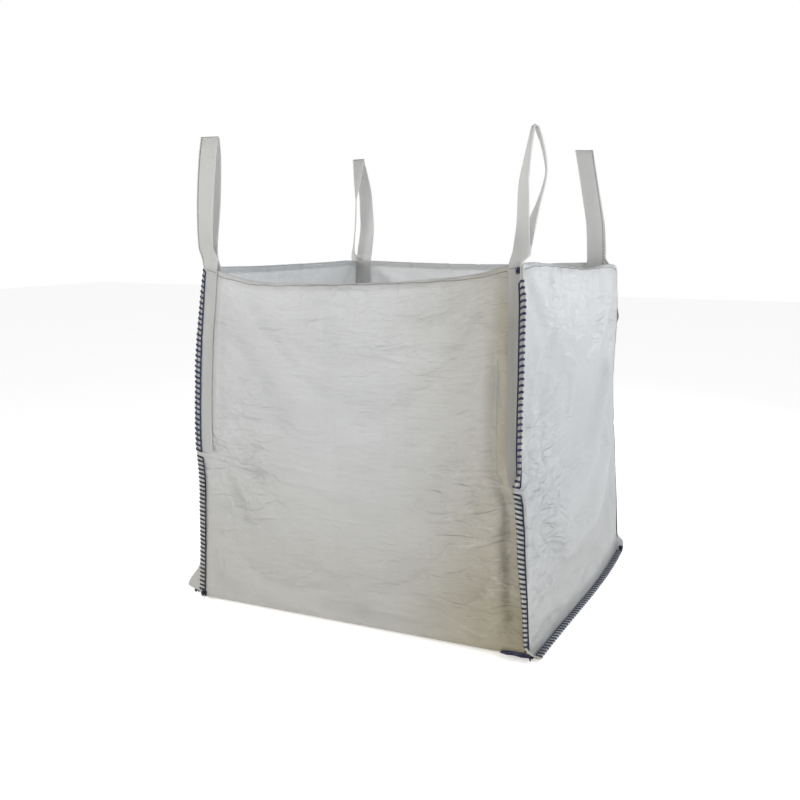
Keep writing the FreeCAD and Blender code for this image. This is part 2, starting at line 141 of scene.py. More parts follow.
# The free part of each strap, by share of the way from the rim to the crown: shift along SIDE, shift
# along AWAY and twist of the webbing's width (degrees). Both legs end at the crown together.
LOOPS = {
    "front_left": {
        "outer": [(0.0, 0.004, -0.004, 0), (0.07, 0.004, -0.003, -4), (0.16, -0.005, -0.002, -9),
                  (0.5, -0.002, -0.008, -2), (0.85, 0.008, -0.008, 2), (1.0, 0.014, -0.0014, 2)],
        "inner": [(0.0, 0.014, 0.020, -45), (0.16, 0.003, 0.004, -9), (0.5, 0.010, 0.014, -2),
                  (0.85, 0.015, 0.010, 2), (1.0, 0.014, 0.0014, 2)],
        "slack": 0.035, "slide": 0.0, "drop": 0.002, "marked": True,
    },
    "front_right": {
        "outer": [(0.0, -0.008, -0.003, -2), (0.08, -0.006, -0.004, -20), (0.25, -0.005, -0.002, -36),
                  (0.38, -0.004, -0.002, -42), (0.56, -0.004, 0.000, -46), (0.65, -0.003, 0.000, -50),
                  (0.81, 0.004, 0.000, -58), (1.0, 0.0145, 0.000, -64)],
        "inner": [(0.0, -0.008, 0.022, -46), (0.10, 0.000, 0.010, -44), (0.25, 0.006, 0.004, -44),
                  (0.37, 0.016, 0.004, -54), (0.5, 0.029, 0.004, -64), (0.62, 0.039, 0.002, -68),
                  (0.7, 0.042, 0.000, -70), (0.8, 0.038, 0.000, -68), (0.9, 0.030, 0.000, -66),
                  (1.0, 0.0175, 0.000, -64)],
        "slack": 0.035, "slide": 0.0, "drop": 0.010, "marked": False,
    },
    "back_left": {
        "outer": [(0.0, -0.022, 0.002, -40), (0.06, -0.026, 0.000, -50), (0.15, -0.024, -0.002, -58),
                  (0.42, -0.017, -0.006, -64), (0.6, -0.015, -0.010, -60), (0.8, -0.009, -0.008, -36),
                  (1.0, -0.005, -0.0014, -18)],
        "inner": [(0.0, 0.012, -0.002, 4), (0.1, 0.015, 0.000, 6), (0.3, 0.023, 0.006, -4),
                  (0.5, 0.021, 0.012, -8), (0.7, 0.016, 0.014, -12), (1.0, -0.005, 0.0014, -18)],
        "slack": 0.010, "slide": 0.0, "drop": 0.003, "marked": False,
    },
    "back_right": {
        "outer": [(0.0, -0.003, 0.004, 8), (0.15, -0.002, 0.004, 16), (0.35, -0.007, 0.006, 20),
                  (0.42, -0.011, 0.008, 20), (1.0, -0.052, 0.0014, 20)],
        "inner": [(0.0, -0.006, -0.004, 8), (0.15, -0.008, -0.003, 16), (0.35, -0.013, -0.004, 20),
                  (0.42, -0.017, -0.006, 20), (1.0, -0.052, -0.0014, 20)],
        "slack": 0.060, "slide": 0.042, "drop": 0.000, "marked": True,
    },
}

# Creases and ridges of the front and right walls: first and last place (share of the wall's width,
# share of its height), how far they stand out and how wide they are.
CREASES = {
    "front": [
        ((0.39, 0.97), (0.395, 0.79), -0.004, 0.010),
        ((0.055, 0.97), (0.05, 0.50), 0.010, 0.020),
        ((0.90, 0.94), (0.89, 0.48), 0.006, 0.036),
        ((0.928, 0.86), (0.925, 0.50), -0.014, 0.017),
        ((0.945, 0.47), (0.95, 0.12), -0.016, 0.018),
        ((0.90, 0.42), (0.91, 0.06), 0.010, 0.024),
        ((0.895, 0.03), (0.965, 0.17), 0.006, 0.010),
        ((0.84, 0.10), (0.93, 0.24), 0.005, 0.012),
        ((0.012, 0.44), (0.08, 0.31), -0.006, 0.010),
        ((0.08, 0.43), (0.14, 0.29), -0.005, 0.009),
        ((0.02, 0.46), (0.20, 0.52), -0.005, 0.012),
        ((0.02, 0.45), (0.24, 0.43), -0.006, 0.013),
        ((0.03, 0.29), (0.16, 0.285), -0.004, 0.010),
        ((0.17, 0.26), (0.10, 0.20), -0.003, 0.009),
        ((0.10, 0.50), (0.42, 0.47), 0.005, 0.016),
        ((0.22, 0.43), (0.60, 0.40), -0.004, 0.016),
        ((0.45, 0.36), (0.86, 0.31), 0.005, 0.022),
        ((0.55, 0.24), (0.88, 0.16), -0.005, 0.018),
        ((0.97, 0.43), (0.72, 0.55), -0.005, 0.015),
        ((0.97, 0.43), (0.66, 0.42), -0.004, 0.014),
        ((0.62, 0.90), (0.86, 0.87), 0.004, 0.012),
        ((0.66, 0.84), (0.90, 0.82), -0.004, 0.011),
        ((0.85, 0.90), (0.97, 0.80), 0.008, 0.018),
        ((0.20, 0.88), (0.23, 0.62), 0.004, 0.020),
    ],
    "right": [
        ((0.02, 0.47), (0.45, 0.50), 0.008, 0.014),
        ((0.02, 0.46), (0.42, 0.39), -0.008, 0.013),
        ((0.03, 0.44), (0.36, 0.29), 0.009, 0.014),
        ((0.05, 0.50), (0.28, 0.68), -0.007, 0.014),
        ((0.02, 0.40), (0.30, 0.20), -0.008, 0.014),
        ((0.03, 0.53), (0.14, 0.78), 0.007, 0.013),
        ((0.10, 0.34), (0.24, 0.36), 0.006, 0.009),
        ((0.08, 0.26), (0.33, 0.27), 0.006, 0.010),
        ((0.12, 0.55), (0.36, 0.57), 0.006, 0.011),
        ((0.22, 0.95), (0.20, 0.58), -0.006, 0.018),
        ((0.36, 0.92), (0.40, 0.60), 0.005, 0.020),
        ((0.30, 0.62), (0.62, 0.66), -0.004, 0.014),
        ((0.52, 0.44), (0.90, 0.38), 0.006, 0.020),
        ((0.60, 0.30), (0.20, 0.06), 0.006, 0.020),
        ((0.85, 0.88), (0.86, 0.30), 0.005, 0.022),
    ],
}


def smooth(value, low, high):
    """0 below low, 1 above high and an easy curve between them."""
    share = min(1.0, max(0.0, (value - low) / (high - low)))
    return share * share * (3 - 2 * share)


def slope(stops, index, column):
    """How steeply the curve through the stops runs at one of them."""
    before = stops[max(0, index - 1)]
    after = stops[min(len(stops) - 1, index + 1)]
    return (after[column] - before[column]) / (after[0] - before[0])


def along(stops, place, column=1):
    """Read a column of a list of stops, placed by their first column, on one smooth curve."""
    place = min(max(place, stops[0][0]), stops[-1][0])
    index = 0
    while place > stops[index + 1][0]:
        index += 1
    first, last = stops[index], stops[index + 1]
    span = last[0] - first[0]
    share = (place - first[0]) / span
    ease = share * share * (3 - 2 * share)
    lead = share * (1 - share) ** 2 * span * slope(stops, index, column)
    trail = share * share * (share - 1) * span * slope(stops, index + 1, column)
    return first[column] * (1 - ease) + last[column] * ease + lead + trail


# ---- the shape that the bag is sewn to ----


def corner_share(across, deep, right, back):
    """How much a place on the unit square belongs to one corner."""
    return max(0.0, 1 + across * right) * max(0.0, 1 + deep * back) / 4


def rim_dip(across, deep):
    """How far the rim hangs below its straight line, by place on the unit square."""
    left_to_right = (across + 1) / 2
    front_to_back = (deep + 1) / 2
    front = along(RIM_DIPS["front"], left_to_right)
    back = along(RIM_DIPS["back"], left_to_right)
    right = along(RIM_DIPS["right"], front_to_back)
    left = along(RIM_DIPS["left"], front_to_back)
    to_wall = max(0.0, 1 - abs(deep))
    to_side = max(0.0, 1 - abs(across))
    if to_wall + to_side < 1e-6:
        return front if deep < 0 else back
    facing = front if deep < 0 else back
    beside = right if across > 0 else left
    return (facing * to_side + beside * to_wall) / (to_side + to_wall)


def wall(across, deep, high):
    """Place on the bag for a place on the unit box: across and deep from -1 to 1, high from 0 to 1."""
    deep, high = round_fold(deep, high)
    place = Vector((across * (HALF_X - INSET * high), deep * (HALF_Y - INSET * high), high * RIM))
    for corner in CORNERS.values():
        share = corner_share(across, deep, *corner["sign"])
        place += SIDE * along(corner["wander"], high) * share
    if across > 0:
        foot = 1 - smooth(high, 0.0, 0.16)
        place.x += 0.012 * math.sin(math.pi * (0.5 + deep / 2) ** 1.6) * foot * across
    place.z -= rim_dip(across, deep) * smooth(high, 0.35, 1.0)
    place.z += FLOOR_CLEAR * (1 - high)
    return place


def round_fold(deep, high):
    """Round the two folds where the front and back walls turn into the base."""
    reach_y = FOLD / HALF_Y
    reach_z = FOLD / RIM
    out = (abs(deep) - 1 + reach_y) / reach_y
    down = (reach_z - high) / reach_z
    if out <= 0 or down <= 0:
        return deep, high
    scale = max(out, down) / math.hypot(out, down)
    deep = math.copysign(1 - reach_y + reach_y * out * scale, deep)
    return deep, reach_z * (1 - down * scale)


def corner_edge(corner, high):
    right, back = CORNERS[corner]["sign"]
    return wall(right, back, high)


def fin_frame(corner, high):
    """The way a corner's fin points, and the way its outer face looks."""
    right, back = CORNERS[corner]["sign"]
    turn = math.radians(along(CORNERS[corner]["turn"], high)) * -right * -back
    turned = Matrix.Rotation(turn, 3, "Z")
    ripple = 0.10 * noise.noise(Vector((right * 3.0, back * 5.0, high * 9.0)))
    turned = Matrix.Rotation(ripple, 3, "Z") @ turned
    return turned @ Vector((right, 0, 0)), turned @ Vector((0, back, 0))


# ---- helpers for meshes ----


def new_object(name, shape, body="bag"):
    """Turn a bmesh into an object that rides on a body, or on none when body is None."""
    bmesh.ops.recalc_face_normals(shape, faces=shape.faces[:])
    for edge in shape.edges:
        edge.smooth = not edge.is_boundary
    mesh = bpy.data.meshes.new(name)
    shape.to_mesh(mesh)
    shape.free()
    for polygon in mesh.polygons:
        polygon.use_smooth = True
    made = bpy.data.objects.new(name, mesh)
    bpy.context.scene.collection.objects.link(made)
    if body is not None:
        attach(made, body)
    return made


def thicken(made, thickness):
    """Give a sheet its thickness, half of it on either side."""
    solid = made.modifiers.new("thickness", "SOLIDIFY")
    solid.thickness = thickness
    solid.offset = 0.0


def add_patch(shape, long_steps, wide_steps, place):
    """Add a grid and move each of its points to place(long, wide), both from 0 to 1; its UVs keep both."""
    layer = shape.loops.layers.uv.verify()
    grid = bmesh.ops.create_grid(shape, x_segments=long_steps, y_segments=wide_steps, size=0.5)
    shares = {vert: (vert.co.x + 0.5, vert.co.y + 0.5) for vert in grid["verts"]}
    for face in {face for vert in grid["verts"] for face in vert.link_faces}:
        for loop in face.loops:
            loop[layer].uv = shares[loop.vert]
    for vert, (long_share, wide_share) in shares.items():
        vert.co = place(long_share, wide_share)
    return grid["verts"]


def add_thread(shape, points, radius, sides=6):
    """Add a thread that follows a list of points, closed at both ends."""
    steps = len(points) - 1

    def place(long_share, wide_share):
        index = min(steps, round(long_share * steps))
        ahead = points[min(steps, index + 1)] - points[max(0, index - 1)]
        side = ahead.orthogonal().normalized()
        up = ahead.cross(side).normalized()
        turn = wide_share * 2 * math.pi
        return points[index] + (side * math.cos(turn) + up * math.sin(turn)) * radius

    made = add_patch(shape, steps, sides, place)
    bmesh.ops.remove_doubles(shape, verts=made, dist=radius * 0.05)
    kept = [vert for vert in made if vert.is_valid]
    ends = {edge for vert in kept for edge in vert.link_edges if edge.is_boundary}
    bmesh.ops.holes_fill(shape, edges=list(ends), sides=sides + 1)


def add_knot(shape, place, size, thread, turns):
    """A tangle of one thread in a small lump."""
    points = []
    steps = turns * 14
    for step in range(steps):
        turn = step / steps * 2 * math.pi * turns
        spot = Vector((math.sin(turn), math.sin(turn * 1.31 + 1), math.sin(turn * 1.73 + 2)))
        reach = 0.66 + 0.44 * math.sin(turn * 2.37)
        points.append(place + Vector(a * b * reach for a, b in zip(spot.normalized(), size)))
    add_thread(shape, points, thread, sides=5)


def add_ribbon_stitch(shape, root, out, face, run, reach, half_gap, width):
    """One wrap of thread round a fin's edge: up one face, over the edge and down the other."""

    def place(long_share, wide_share):
        travel = (long_share * 2 - 1) * (reach + half_gap)
        crown = 0.0011 * math.sin(math.pi * wide_share)
        height = half_gap + crown
        if abs(travel) <= half_gap:
            turn = travel / half_gap * math.pi / 2
            spot = out * (math.cos(turn) * height) + face * (math.sin(turn) * height)
        else:
            back = abs(travel) - half_gap
            spot = out * -back + face * math.copysign(height, travel)
        return root + spot + run * ((wide_share - 0.5) * width)

    ribbon = add_patch(shape, 12, 2, place)
    faces = {face for vert in ribbon for face in vert.link_faces}
    bmesh.ops.solidify(shape, geom=list(faces), thickness=THREAD)


# ---- the cloth ----


def unit_box():
    """An open box from -1 to 1, cut into a fine grid, with each face's panel as its material index."""
    shape = bmesh.new()
    bmesh.ops.create_cube(shape, size=2)
    lid = [face for face in shape.faces if face.normal.z > 0.5]
    bmesh.ops.delete(shape, geom=lid, context="FACES_ONLY")
    bmesh.ops.subdivide_edges(shape, edges=shape.edges[:], cuts=SHELL_CUTS, use_grid_fill=True)
    for face in shape.faces:
        face.material_index = round(face.normal.x) % 3
    return shape


def flat_place(panel, across, deep, high):
    """Where a point lies on its flat cloth, in metres."""
    if panel == 0:
        if abs(deep) > 0.9999 and high > 0.0001:
            run = -high * RIM if deep < 0 else high * RIM + 2 * HALF_Y
            return across * HALF_X, run
        return across * HALF_X, (deep + 1) * HALF_Y
    return deep * HALF_Y, high * RIM


def hold(across, deep, high):
    """How firmly sewing or the floor holds a point of the cloth: 1 holds it still."""
    to_side = (1 - abs(across)) * HALF_X
    to_wall = (1 - abs(deep)) * HALF_Y
    on_side = to_side < 0.001
    on_front = to_wall < 0.001
    if high < 0.0001:
        return 1.0
    seam = to_wall if on_side else to_side
    covered = 0.026 if high * RIM > TAIL_LOW else 0.004
    if on_side and not on_front:
        covered = 0.002
    firm = 1 - smooth(seam, covered, covered + 0.05)
    rim = 0.30 * smooth(high, 1 - 2 * HEM / RIM, 1.0)
    floor = 1 - smooth(high * RIM, 0.012, 0.05)
    return min(1.0, max(firm, rim, floor))


def starting_crease(across, deep, high, panel):
    """A small push that tells the cloth which way to buckle."""
    spot = wall(across, deep, high)
    wide = noise.noise(spot * 4.0 + Vector((panel * 7.0, 0, 0)))
    slanted = noise.noise(Vector((spot.x * 5 + spot.z * 7, spot.y * 5 - spot.z * 4, panel * 3.0)))
    fine = noise.noise(spot * 17.0)
    return 0.005 * wide + 0.004 * slanted + 0.0016 * fine


def sew_shell():
    """The whole bag as one skin, settled as cloth that is a little larger than its frame of seams."""
    shape = unit_box()
    unit = [(vert.co.x, vert.co.y, (vert.co.z + 1) / 2) for vert in shape.verts]
    for vert, spot in zip(shape.verts, unit):
        vert.co = wall(*spot)
    shape.normal_update()
    for vert, spot in zip(shape.verts, unit):
        panel = round(vert.normal.x)
        vert.co += vert.normal * starting_crease(*spot, panel) * (1 - hold(*spot))
    skin = new_object("shell_at_rest", shape, body=None)
    group = skin.vertex_groups.new(name="held")
    for index, spot in enumerate(unit):
        group.add([index], hold(*spot), "REPLACE")
    settle(skin)
    return skin, unit


def settle(skin):
    """Let the cloth buckle for a moment and keep the result."""
    cloth = skin.modifiers.new("cloth", "CLOTH")
    facts = cloth.settings
    facts.quality = 7
    facts.mass = 0.12
    facts.tension_stiffness = 22
    facts.compression_stiffness = 22
    facts.shear_stiffness = 8
    facts.bending_stiffness = 0.4
    facts.air_damping = 2.0
    facts.vertex_group_mass = "held"
    facts.pin_stiffness = 1.0
    facts.shrink_min = -0.014
    facts.use_pressure = True
    facts.uniform_pressure_force = 0.2
    facts.effector_weights.gravity = 0.5
    cloth.collision_settings.use_collision = False
    cloth.point_cache.frame_start = 1
    cloth.point_cache.frame_end = FRAMES
    scene = bpy.context.scene
    for moment in range(1, FRAMES + 1):
        scene.frame_set(moment)
    settled = skin.evaluated_get(bpy.context.evaluated_depsgraph_get())
    moved = [vert.co.copy() for vert in settled.data.vertices]
    skin.modifiers.clear()
    for vert, spot in zip(skin.data.vertices, moved):
        step = spot - vert.co
        if step.length > LARGEST_MOVE:
            step *= LARGEST_MOVE / step.length
        vert.co += step
    scene.frame_set(1)


def cut_panel(skin, unit, panel):
    """One cloth of the shell as a bmesh that knows where its points lie flat."""
    shape = bmesh.new()
    shape.from_mesh(skin.data)
    shape.verts.ensure_lookup_table()
    for name in PLACE:
        shape.verts.layers.float.new(name)
    shape.verts.layers.float_vector.new("rim_root")
    shape.verts.layers.float_vector.new("flat")
    layers = shape.verts.layers
    across_layer, deep_layer, high_layer = (layers.float[name] for name in PLACE)
    flat = layers.float_vector["flat"]
    for vert, spot in zip(shape.verts, unit):
        vert[across_layer], vert[deep_layer], vert[high_layer] = spot
    others = [face for face in shape.faces if face.material_index != panel]
    bmesh.ops.delete(shape, geom=others, context="FACES")
    for vert in shape.verts:
        spot = flat_place(panel, vert[across_layer], vert[deep_layer], vert[high_layer])
        vert[flat] = Vector((*spot, 0))
    for face in shape.faces:
        face.material_index = 0
    return shape


def refine(shape):
    """Halve the cloth's squares, then ease it, without moving its edges."""
    bmesh.ops.subdivide_edges(shape, edges=shape.edges[:], cuts=1, use_grid_fill=True)
    inner = [vert for vert in shape.verts if not vert.is_boundary]
    axes = {"use_axis_x": True, "use_axis_y": True, "use_axis_z": True}
    for _ in range(2):
        bmesh.ops.smooth_vert(shape, verts=inner, factor=0.5, **axes)


def crease_depth(creases, spot):
    """How far a place on a wall stands out because of its creases."""
    depth = 0.0
    for start, end, height, width in creases:
        first, last = Vector(start) * RIM, Vector(end) * RIM
        run = last - first
        travel = min(1.0, max(0.0, (spot - first).dot(run) / run.length_squared))
        off = (spot - first - run * travel).length / width
        if off < 2.5:
            depth += height * math.exp(-off * off) * (0.55 + 0.45 * math.sin(math.pi * travel))
    return depth


def press_creases(shape):
    """Push the creases into the front and right walls."""
    across_layer, deep_layer, high_layer = (shape.verts.layers.float[name] for name in PLACE)
    shape.normal_update()
    moves = {}
    for vert in shape.verts:
        across, deep, high = vert[across_layer], vert[deep_layer], vert[high_layer]
        to_seam = (1 - abs(across)) * HALF_X if abs(deep) > 0.9999 else (1 - abs(deep)) * HALF_Y
        free = smooth(to_seam, 0.004, 0.024) * smooth(high, 0.0, 0.06)
        if deep < -0.9999 and abs(across) < 0.9999:
            if high * RIM > TAIL_LOW - 0.02:
                free *= smooth(to_seam, 0.026, 0.05)
            depth = crease_depth(CREASES["front"], Vector(((across + 1) / 2, high)) * RIM)
            moves[vert] = Vector((0, -1, 0)) * depth * free
        elif across > 0.9999 and abs(deep) < 0.9999:
            depth = crease_depth(CREASES["right"], Vector(((deep + 1) / 2, high)) * RIM)
            moves[vert] = Vector((1, 0, 0)) * depth * free
    for vert, move in moves.items():
        vert.co += move


def fin_width(corner, high):
    """The fins are even, but a corner of cloth was left loose low on the front left one."""
    loose = 0.0
    if corner == "front_left":
        height = high * RIM
        loose = 0.034 * smooth(height, 0.022, 0.040) * (1 - smooth(height, 0.040, 0.110))
    return FIN + loose


def seam_step(panel, vert, layers, share):
    """Where a point of the fin lies, share of the way out, seen from its place on the seam."""
    across, deep, high = (vert[layer] for layer in layers)
    on_wall = abs(deep) > 0.9999
    side = math.copysign(1.0, across)
    if on_wall:
        corner = ("back" if deep > 0 else "front") + ("_right" if side > 0 else "_left")
        out, face = fin_frame(corner, high)
        back = 1.0 if deep > 0 else -1.0
        foot = smooth(high * RIM, 0.0, 0.045)
        flat_out = Vector((side, 0, 0))
        out = (out * foot + flat_out * (1 - foot)).normalized()
        face = (face * foot + Vector((0, back * high * RIM / FOLD, -1)) * (1 - foot)).normalized()
    else:
        tilt = BASE_TILT * (1 - smooth(abs(deep), 0.90, 1.0))
        out = Vector((side * math.cos(tilt), 0, math.sin(tilt)))
        face = Vector((side * math.sin(tilt), 0, -math.cos(tilt)))
    apart = 0.0 if panel == 0 else -CLOTH_GAP
    wave = 0.0012 * noise.noise(Vector((high * 14, deep * 9, side)))
    width = fin_width(corner, high) if on_wall else FIN
    return out * width * share + face * (apart * min(1.0, share * 3) + wave * share)


def add_fins(shape, panel):
    """Carry the cloth out past its seams."""
    layers = [shape.verts.layers.float[name] for name in PLACE]
    flat = shape.verts.layers.float_vector["flat"]
    seam = []
    for edge in shape.edges:
        if not edge.is_boundary:
            continue
        on_rim = all(vert[layers[2]] > 0.9999 for vert in edge.verts)
        if not on_rim:
            seam.append(edge)
    for share in (0.12, 0.4, 0.7, 1.0):
        grown = bmesh.ops.extrude_edge_only(shape, edges=seam)["geom"]
        seam = [item for item in grown if isinstance(item, bmesh.types.BMEdge) and item.is_boundary]
        seam = [edge for edge in seam if not crosses_rim(edge, layers[2])]
        for vert in {vert for edge in seam for vert in edge.verts}:
            root = wall(*(vert[layer] for layer in layers))
            vert.co = root + seam_step(panel, vert, layers, share)
            vert[flat] = vert[flat] + Vector((FIN * 0.3, 0, 0))


def crosses_rim(edge, high_layer):
    """Whether a fin edge is the short one at the rim, which joins two steps of the fin."""
    return all(vert[high_layer] > 0.9999 for vert in edge.verts)


def add_hem(shape, panel):
    """Turn the rim in and down, as a hem."""
    high_layer = shape.verts.layers.float["high"]
    deep_layer = shape.verts.layers.float["deep"]
    across_layer = shape.verts.layers.float["across"]
    rim = [edge for edge in shape.edges if edge.is_boundary and crosses_rim(edge, high_layer)]
    for inward, down in ((0.0022, -0.0008), (0.0030, HEM * 0.3), (0.0026, HEM * 0.6), (0.0022, HEM)):
        grown = bmesh.ops.extrude_edge_only(shape, edges=rim)["geom"]
        rim = [item for item in grown if isinstance(item, bmesh.types.BMEdge) and item.is_boundary]
        points = {vert for edge in rim for vert in edge.verts}
        rim = [edge for edge in rim if abs(edge.verts[0].co.z - edge.verts[1].co.z) < 0.004]
        for vert in points:
            if panel == 0:
                away = Vector((0, math.copysign(1, vert[deep_layer]), 0))
            else:
                away = Vector((math.copysign(1, vert[across_layer]), 0, 0))
            root = rim_root(shape, vert)
            vert.co = root - away * inward - Vector((0, 0, down))


def rim_root(shape, vert):
    """The rim point that a hem point was grown from, kept in a layer the first time it is asked for."""
    layer = shape.verts.layers.float_vector["rim_root"]
    if Vector(vert[layer]).length < 0.001:
        vert[layer] = vert.co.copy()
    return Vector(vert[layer])


def write_uvs(shape):
    """UVs in metres on the flat cloth, so that the weave runs with the panel."""
    flat = shape.verts.layers.float_vector["flat"]
    uv = shape.loops.layers.uv.verify()
    for face in shape.faces:
        for loop in face.loops:
            loop[uv].uv = Vector(loop.vert[flat]).xy


def make_cloths():
    """The U-shaped body cloth and the two side panels."""
    skin, unit = sew_shell()
    facts = {
        "body_cloth": (0, "body_panel"),
        "right_side_cloth": (1, "side_panel_right"),
        "left_side_cloth": (2, "side_panel_left"),
    }
    made = {}
    for name, (panel, node) in facts.items():
        shape = cut_panel(skin, unit, panel)
        refine(shape)
        press_creases(shape)
        add_hem(shape, panel)
        add_fins(shape, panel)
        write_uvs(shape)
        made[name] = new_object(name, shape)
        thicken(made[name], CLOTH)
        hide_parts(node)
    bpy.data.objects.remove(skin)
    return made


# ---- the straps ----


def strap_spot(corner, face, height, wide_share):
    """A point of one leg of a strap: face is 1 for the outer leg and -1 for the inner one."""
    sewn = tail_spot(corner, face, min(height, RIM), wide_share)
    sewn.z += max(0.0, height - RIM)
    slack = LOOPS[corner]["slack"] if face < 0 else 0.004
    rise = smooth(height, RIM - slack, RIM + 0.030)
    if rise == 0:
        return sewn
    return sewn.lerp(loop_spot(corner, face, height, wide_share), rise)


def tail_spot(corner, face, height, wide_share):
    """On the wall: the outer tail lies over the fin, the inner one beside the side panel."""
    right, back = CORNERS[corner]["sign"]
    high = height / RIM
    wobble = 0.0012 * noise.noise(Vector((right * 2.0, back * 3.0 + face, height * 14)))
    away = Vector((0, back, 0))
    if face < 0:
        tail_high = node_box(f"inner_tail_{corner}")[1 if right > 0 else 0]
        gap = HALF_X - INSET * TAIL_LOW / RIM - abs(tail_high.x)
        reach = wobble - gap - (1 - wide_share) * WEB_WIDTH
        return wall(right * (1 + reach / HALF_X), back, high) - away * INNER_LIFT
    slide = LOOPS[corner]["slide"] * smooth(height, RIM - 0.25, RIM)
    reach = FIN - 0.001 - (1 - wide_share) * WEB_WIDTH + wobble - slide
    if reach <= 0:
        return wall(right * (1 + reach / HALF_X), back, high) + away * WEB_LIFT
    out, outward = fin_frame(corner, high)
    if slide > 0:
        out = out.lerp(Vector((right, 0, 0)), min(1.0, slide / FIN)).normalized()
        outward = outward.lerp(away, min(1.0, slide / FIN)).normalized()
    lift = (outward + away * smooth(-reach, -0.006, 0.0)).normalized()
    return corner_edge(corner, high) + out * reach + lift * WEB_LIFT


def pull_up(corner):
    """How far the rim is pulled up at a corner."""
    right, back = CORNERS[corner]["sign"]
    stops = RIM_DIPS["front" if back < 0 else "back"]
    return -stops[-1 if right > 0 else 0][1]


def loop_spot(corner, face, height, wide_share):
    """The free strap: its two legs leave the rim together, part round the eye and meet at the crown."""
    right, back = CORNERS[corner]["sign"]
    facts = LOOPS[corner]
    stops = facts["outer" if face > 0 else "inner"]
    neck_low, neck_high = node_box(f"outer_neck_{corner}")
    top = node_box(f"eye_{corner}")[1].z
    climb = max(0.0, (height - RIM) / (top - RIM))
    side, away, twist = (along(stops, climb, column) for column in (1, 2, 3))
    wide = Matrix.Rotation(math.radians(twist), 3, "Z") @ Vector((right, 0, 0))
    out = Matrix.Rotation(math.radians(twist), 3, "Z") @ Vector((0, back, 0))
    pulled = pull_up(corner) * (1 - smooth(height, RIM, RIM + 0.12))
    level = height + pulled - facts["drop"] * smooth(climb, 0.3, 1)
    centre = Vector(((neck_low.x + neck_high.x) / 2, back * (HALF_Y - INSET), level))
    centre += SIDE * side + AWAY * away
    cupped = 0.0014 * math.cos((wide_share - 0.5) * math.pi) * (1 - climb ** 4)
    apart = 0.0014 * smooth(climb, 0.0, 0.1)
    return centre + wide * ((wide_share - 0.5) * WEB_WIDTH) + out * face * (apart + cupped)


def strap_lengthwise(corner, face, low, high, flip=False):
    """A placing function for one leg between two heights."""

    def place(long_share, wide_share):
        share = 1 - long_share if flip else long_share
        return strap_spot(corner, face, low + (high - low) * share, wide_share)

    return place


def real_uvs(shape, length):
    """Stretch 0 to 1 UVs to metres along and across the webbing."""
    layer = shape.loops.layers.uv.verify()
    for face in shape.faces:
        for loop in face.loops:
            loop[layer].uv = (loop[layer].uv.x * length, loop[layer].uv.y * WEB_WIDTH)


def make_tails(corner, split):
    """The strap's two ends: each runs from its sewn tail to half way up the neck."""
    hinge = RIM + HINGE_RISE + max(0.0, pull_up(corner))
    tails = []
    for face, word in ((1, "outer"), (-1, "inner")):
        shape = bmesh.new()
        add_patch(shape, 110, 6, strap_lengthwise(corner, face, TAIL_LOW, split))
        real_uvs(shape, split - TAIL_LOW)
        tail = new_object(f"{word}_webbing_{corner}", shape, body=None)
        thicken(tail, WEB_THICK)
        low, high = (0, 0, hinge - BEND_REACH), (0, 0, hinge + BEND_REACH)
        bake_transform(tail, "bag", f"neck_{corner}", start=low, end=high)
        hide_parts(f"{word}_tail_{corner}", f"{word}_neck_{corner}")
        tails.append(tail)
    return tails


def make_loop(corner, split):
    """The open loop: from half way up the neck over the crown and down again."""
    eye_low, eye_high = node_box(f"eye_{corner}")
    top = eye_high.z - 0.001
    climb = strap_lengthwise(corner, 1, split, top)
    descend = strap_lengthwise(corner, -1, split, top, flip=True)

    def over(long_share, wide_share):
        if long_share <= 0.5:
            return climb(long_share * 2, wide_share)
        return descend(long_share * 2 - 1, wide_share)

    shape = bmesh.new()
    add_patch(shape, 120, 6, over)
    real_uvs(shape, (top - split) * 2)
    loop = new_object(f"loop_{corner}", shape, body=None)
    thicken(loop, WEB_THICK)
    low, high = (0, 0, eye_low.z - EYE_REACH), (0, 0, eye_low.z + EYE_REACH)
    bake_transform(loop, f"neck_{corner}", f"eye_{corner}", start=low, end=high)
    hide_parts(f"eye_{corner}")
    return loop


def make_strap(corner):
    """One strap as three pieces that meet half way up the neck."""
    neck_low = node_box(f"outer_neck_{corner}")[0].z
    split = (neck_low + node_box(f"eye_{corner}")[0].z) / 2
    pieces = [*make_tails(corner, split), make_loop(corner, split)]
    return pieces


# ---- the thread ----


def corner_stitches(corner, low, high, pitch, over_web):
    """Overlock along a corner's fin: wraps round the edge and a chain line on each face."""
    shape = bmesh.new()
    count = int((high - low) / pitch)
    half_gap = 0.0040 if over_web else 0.0026
    shift = 0.0008 if over_web else -0.0011
    chains = ([], [])
    for index in range(count + 1):
        height = low + pitch * index
        share = height / RIM
        out, face = fin_frame(corner, share)
        slip = 0.0008 * noise.noise(Vector((height * 60, share, 2.0)))
        tip = corner_edge(corner, share) + out * (FIN - half_gap * 0.4 + slip) + face * shift
        slant = (out + Vector((0, 0, 0.32))).normalized()
        add_ribbon_stitch(shape, tip, slant, face, Vector((0, 0, 1)), STITCH_BAND, half_gap, pitch * 0.36)
        for line, side in zip(chains, (1, -1)):
            line.append(tip - slant * STITCH_BAND + face * side * (half_gap + 0.0009))
    for line in chains:
        add_thread(shape, line, 0.0019)
    return shape


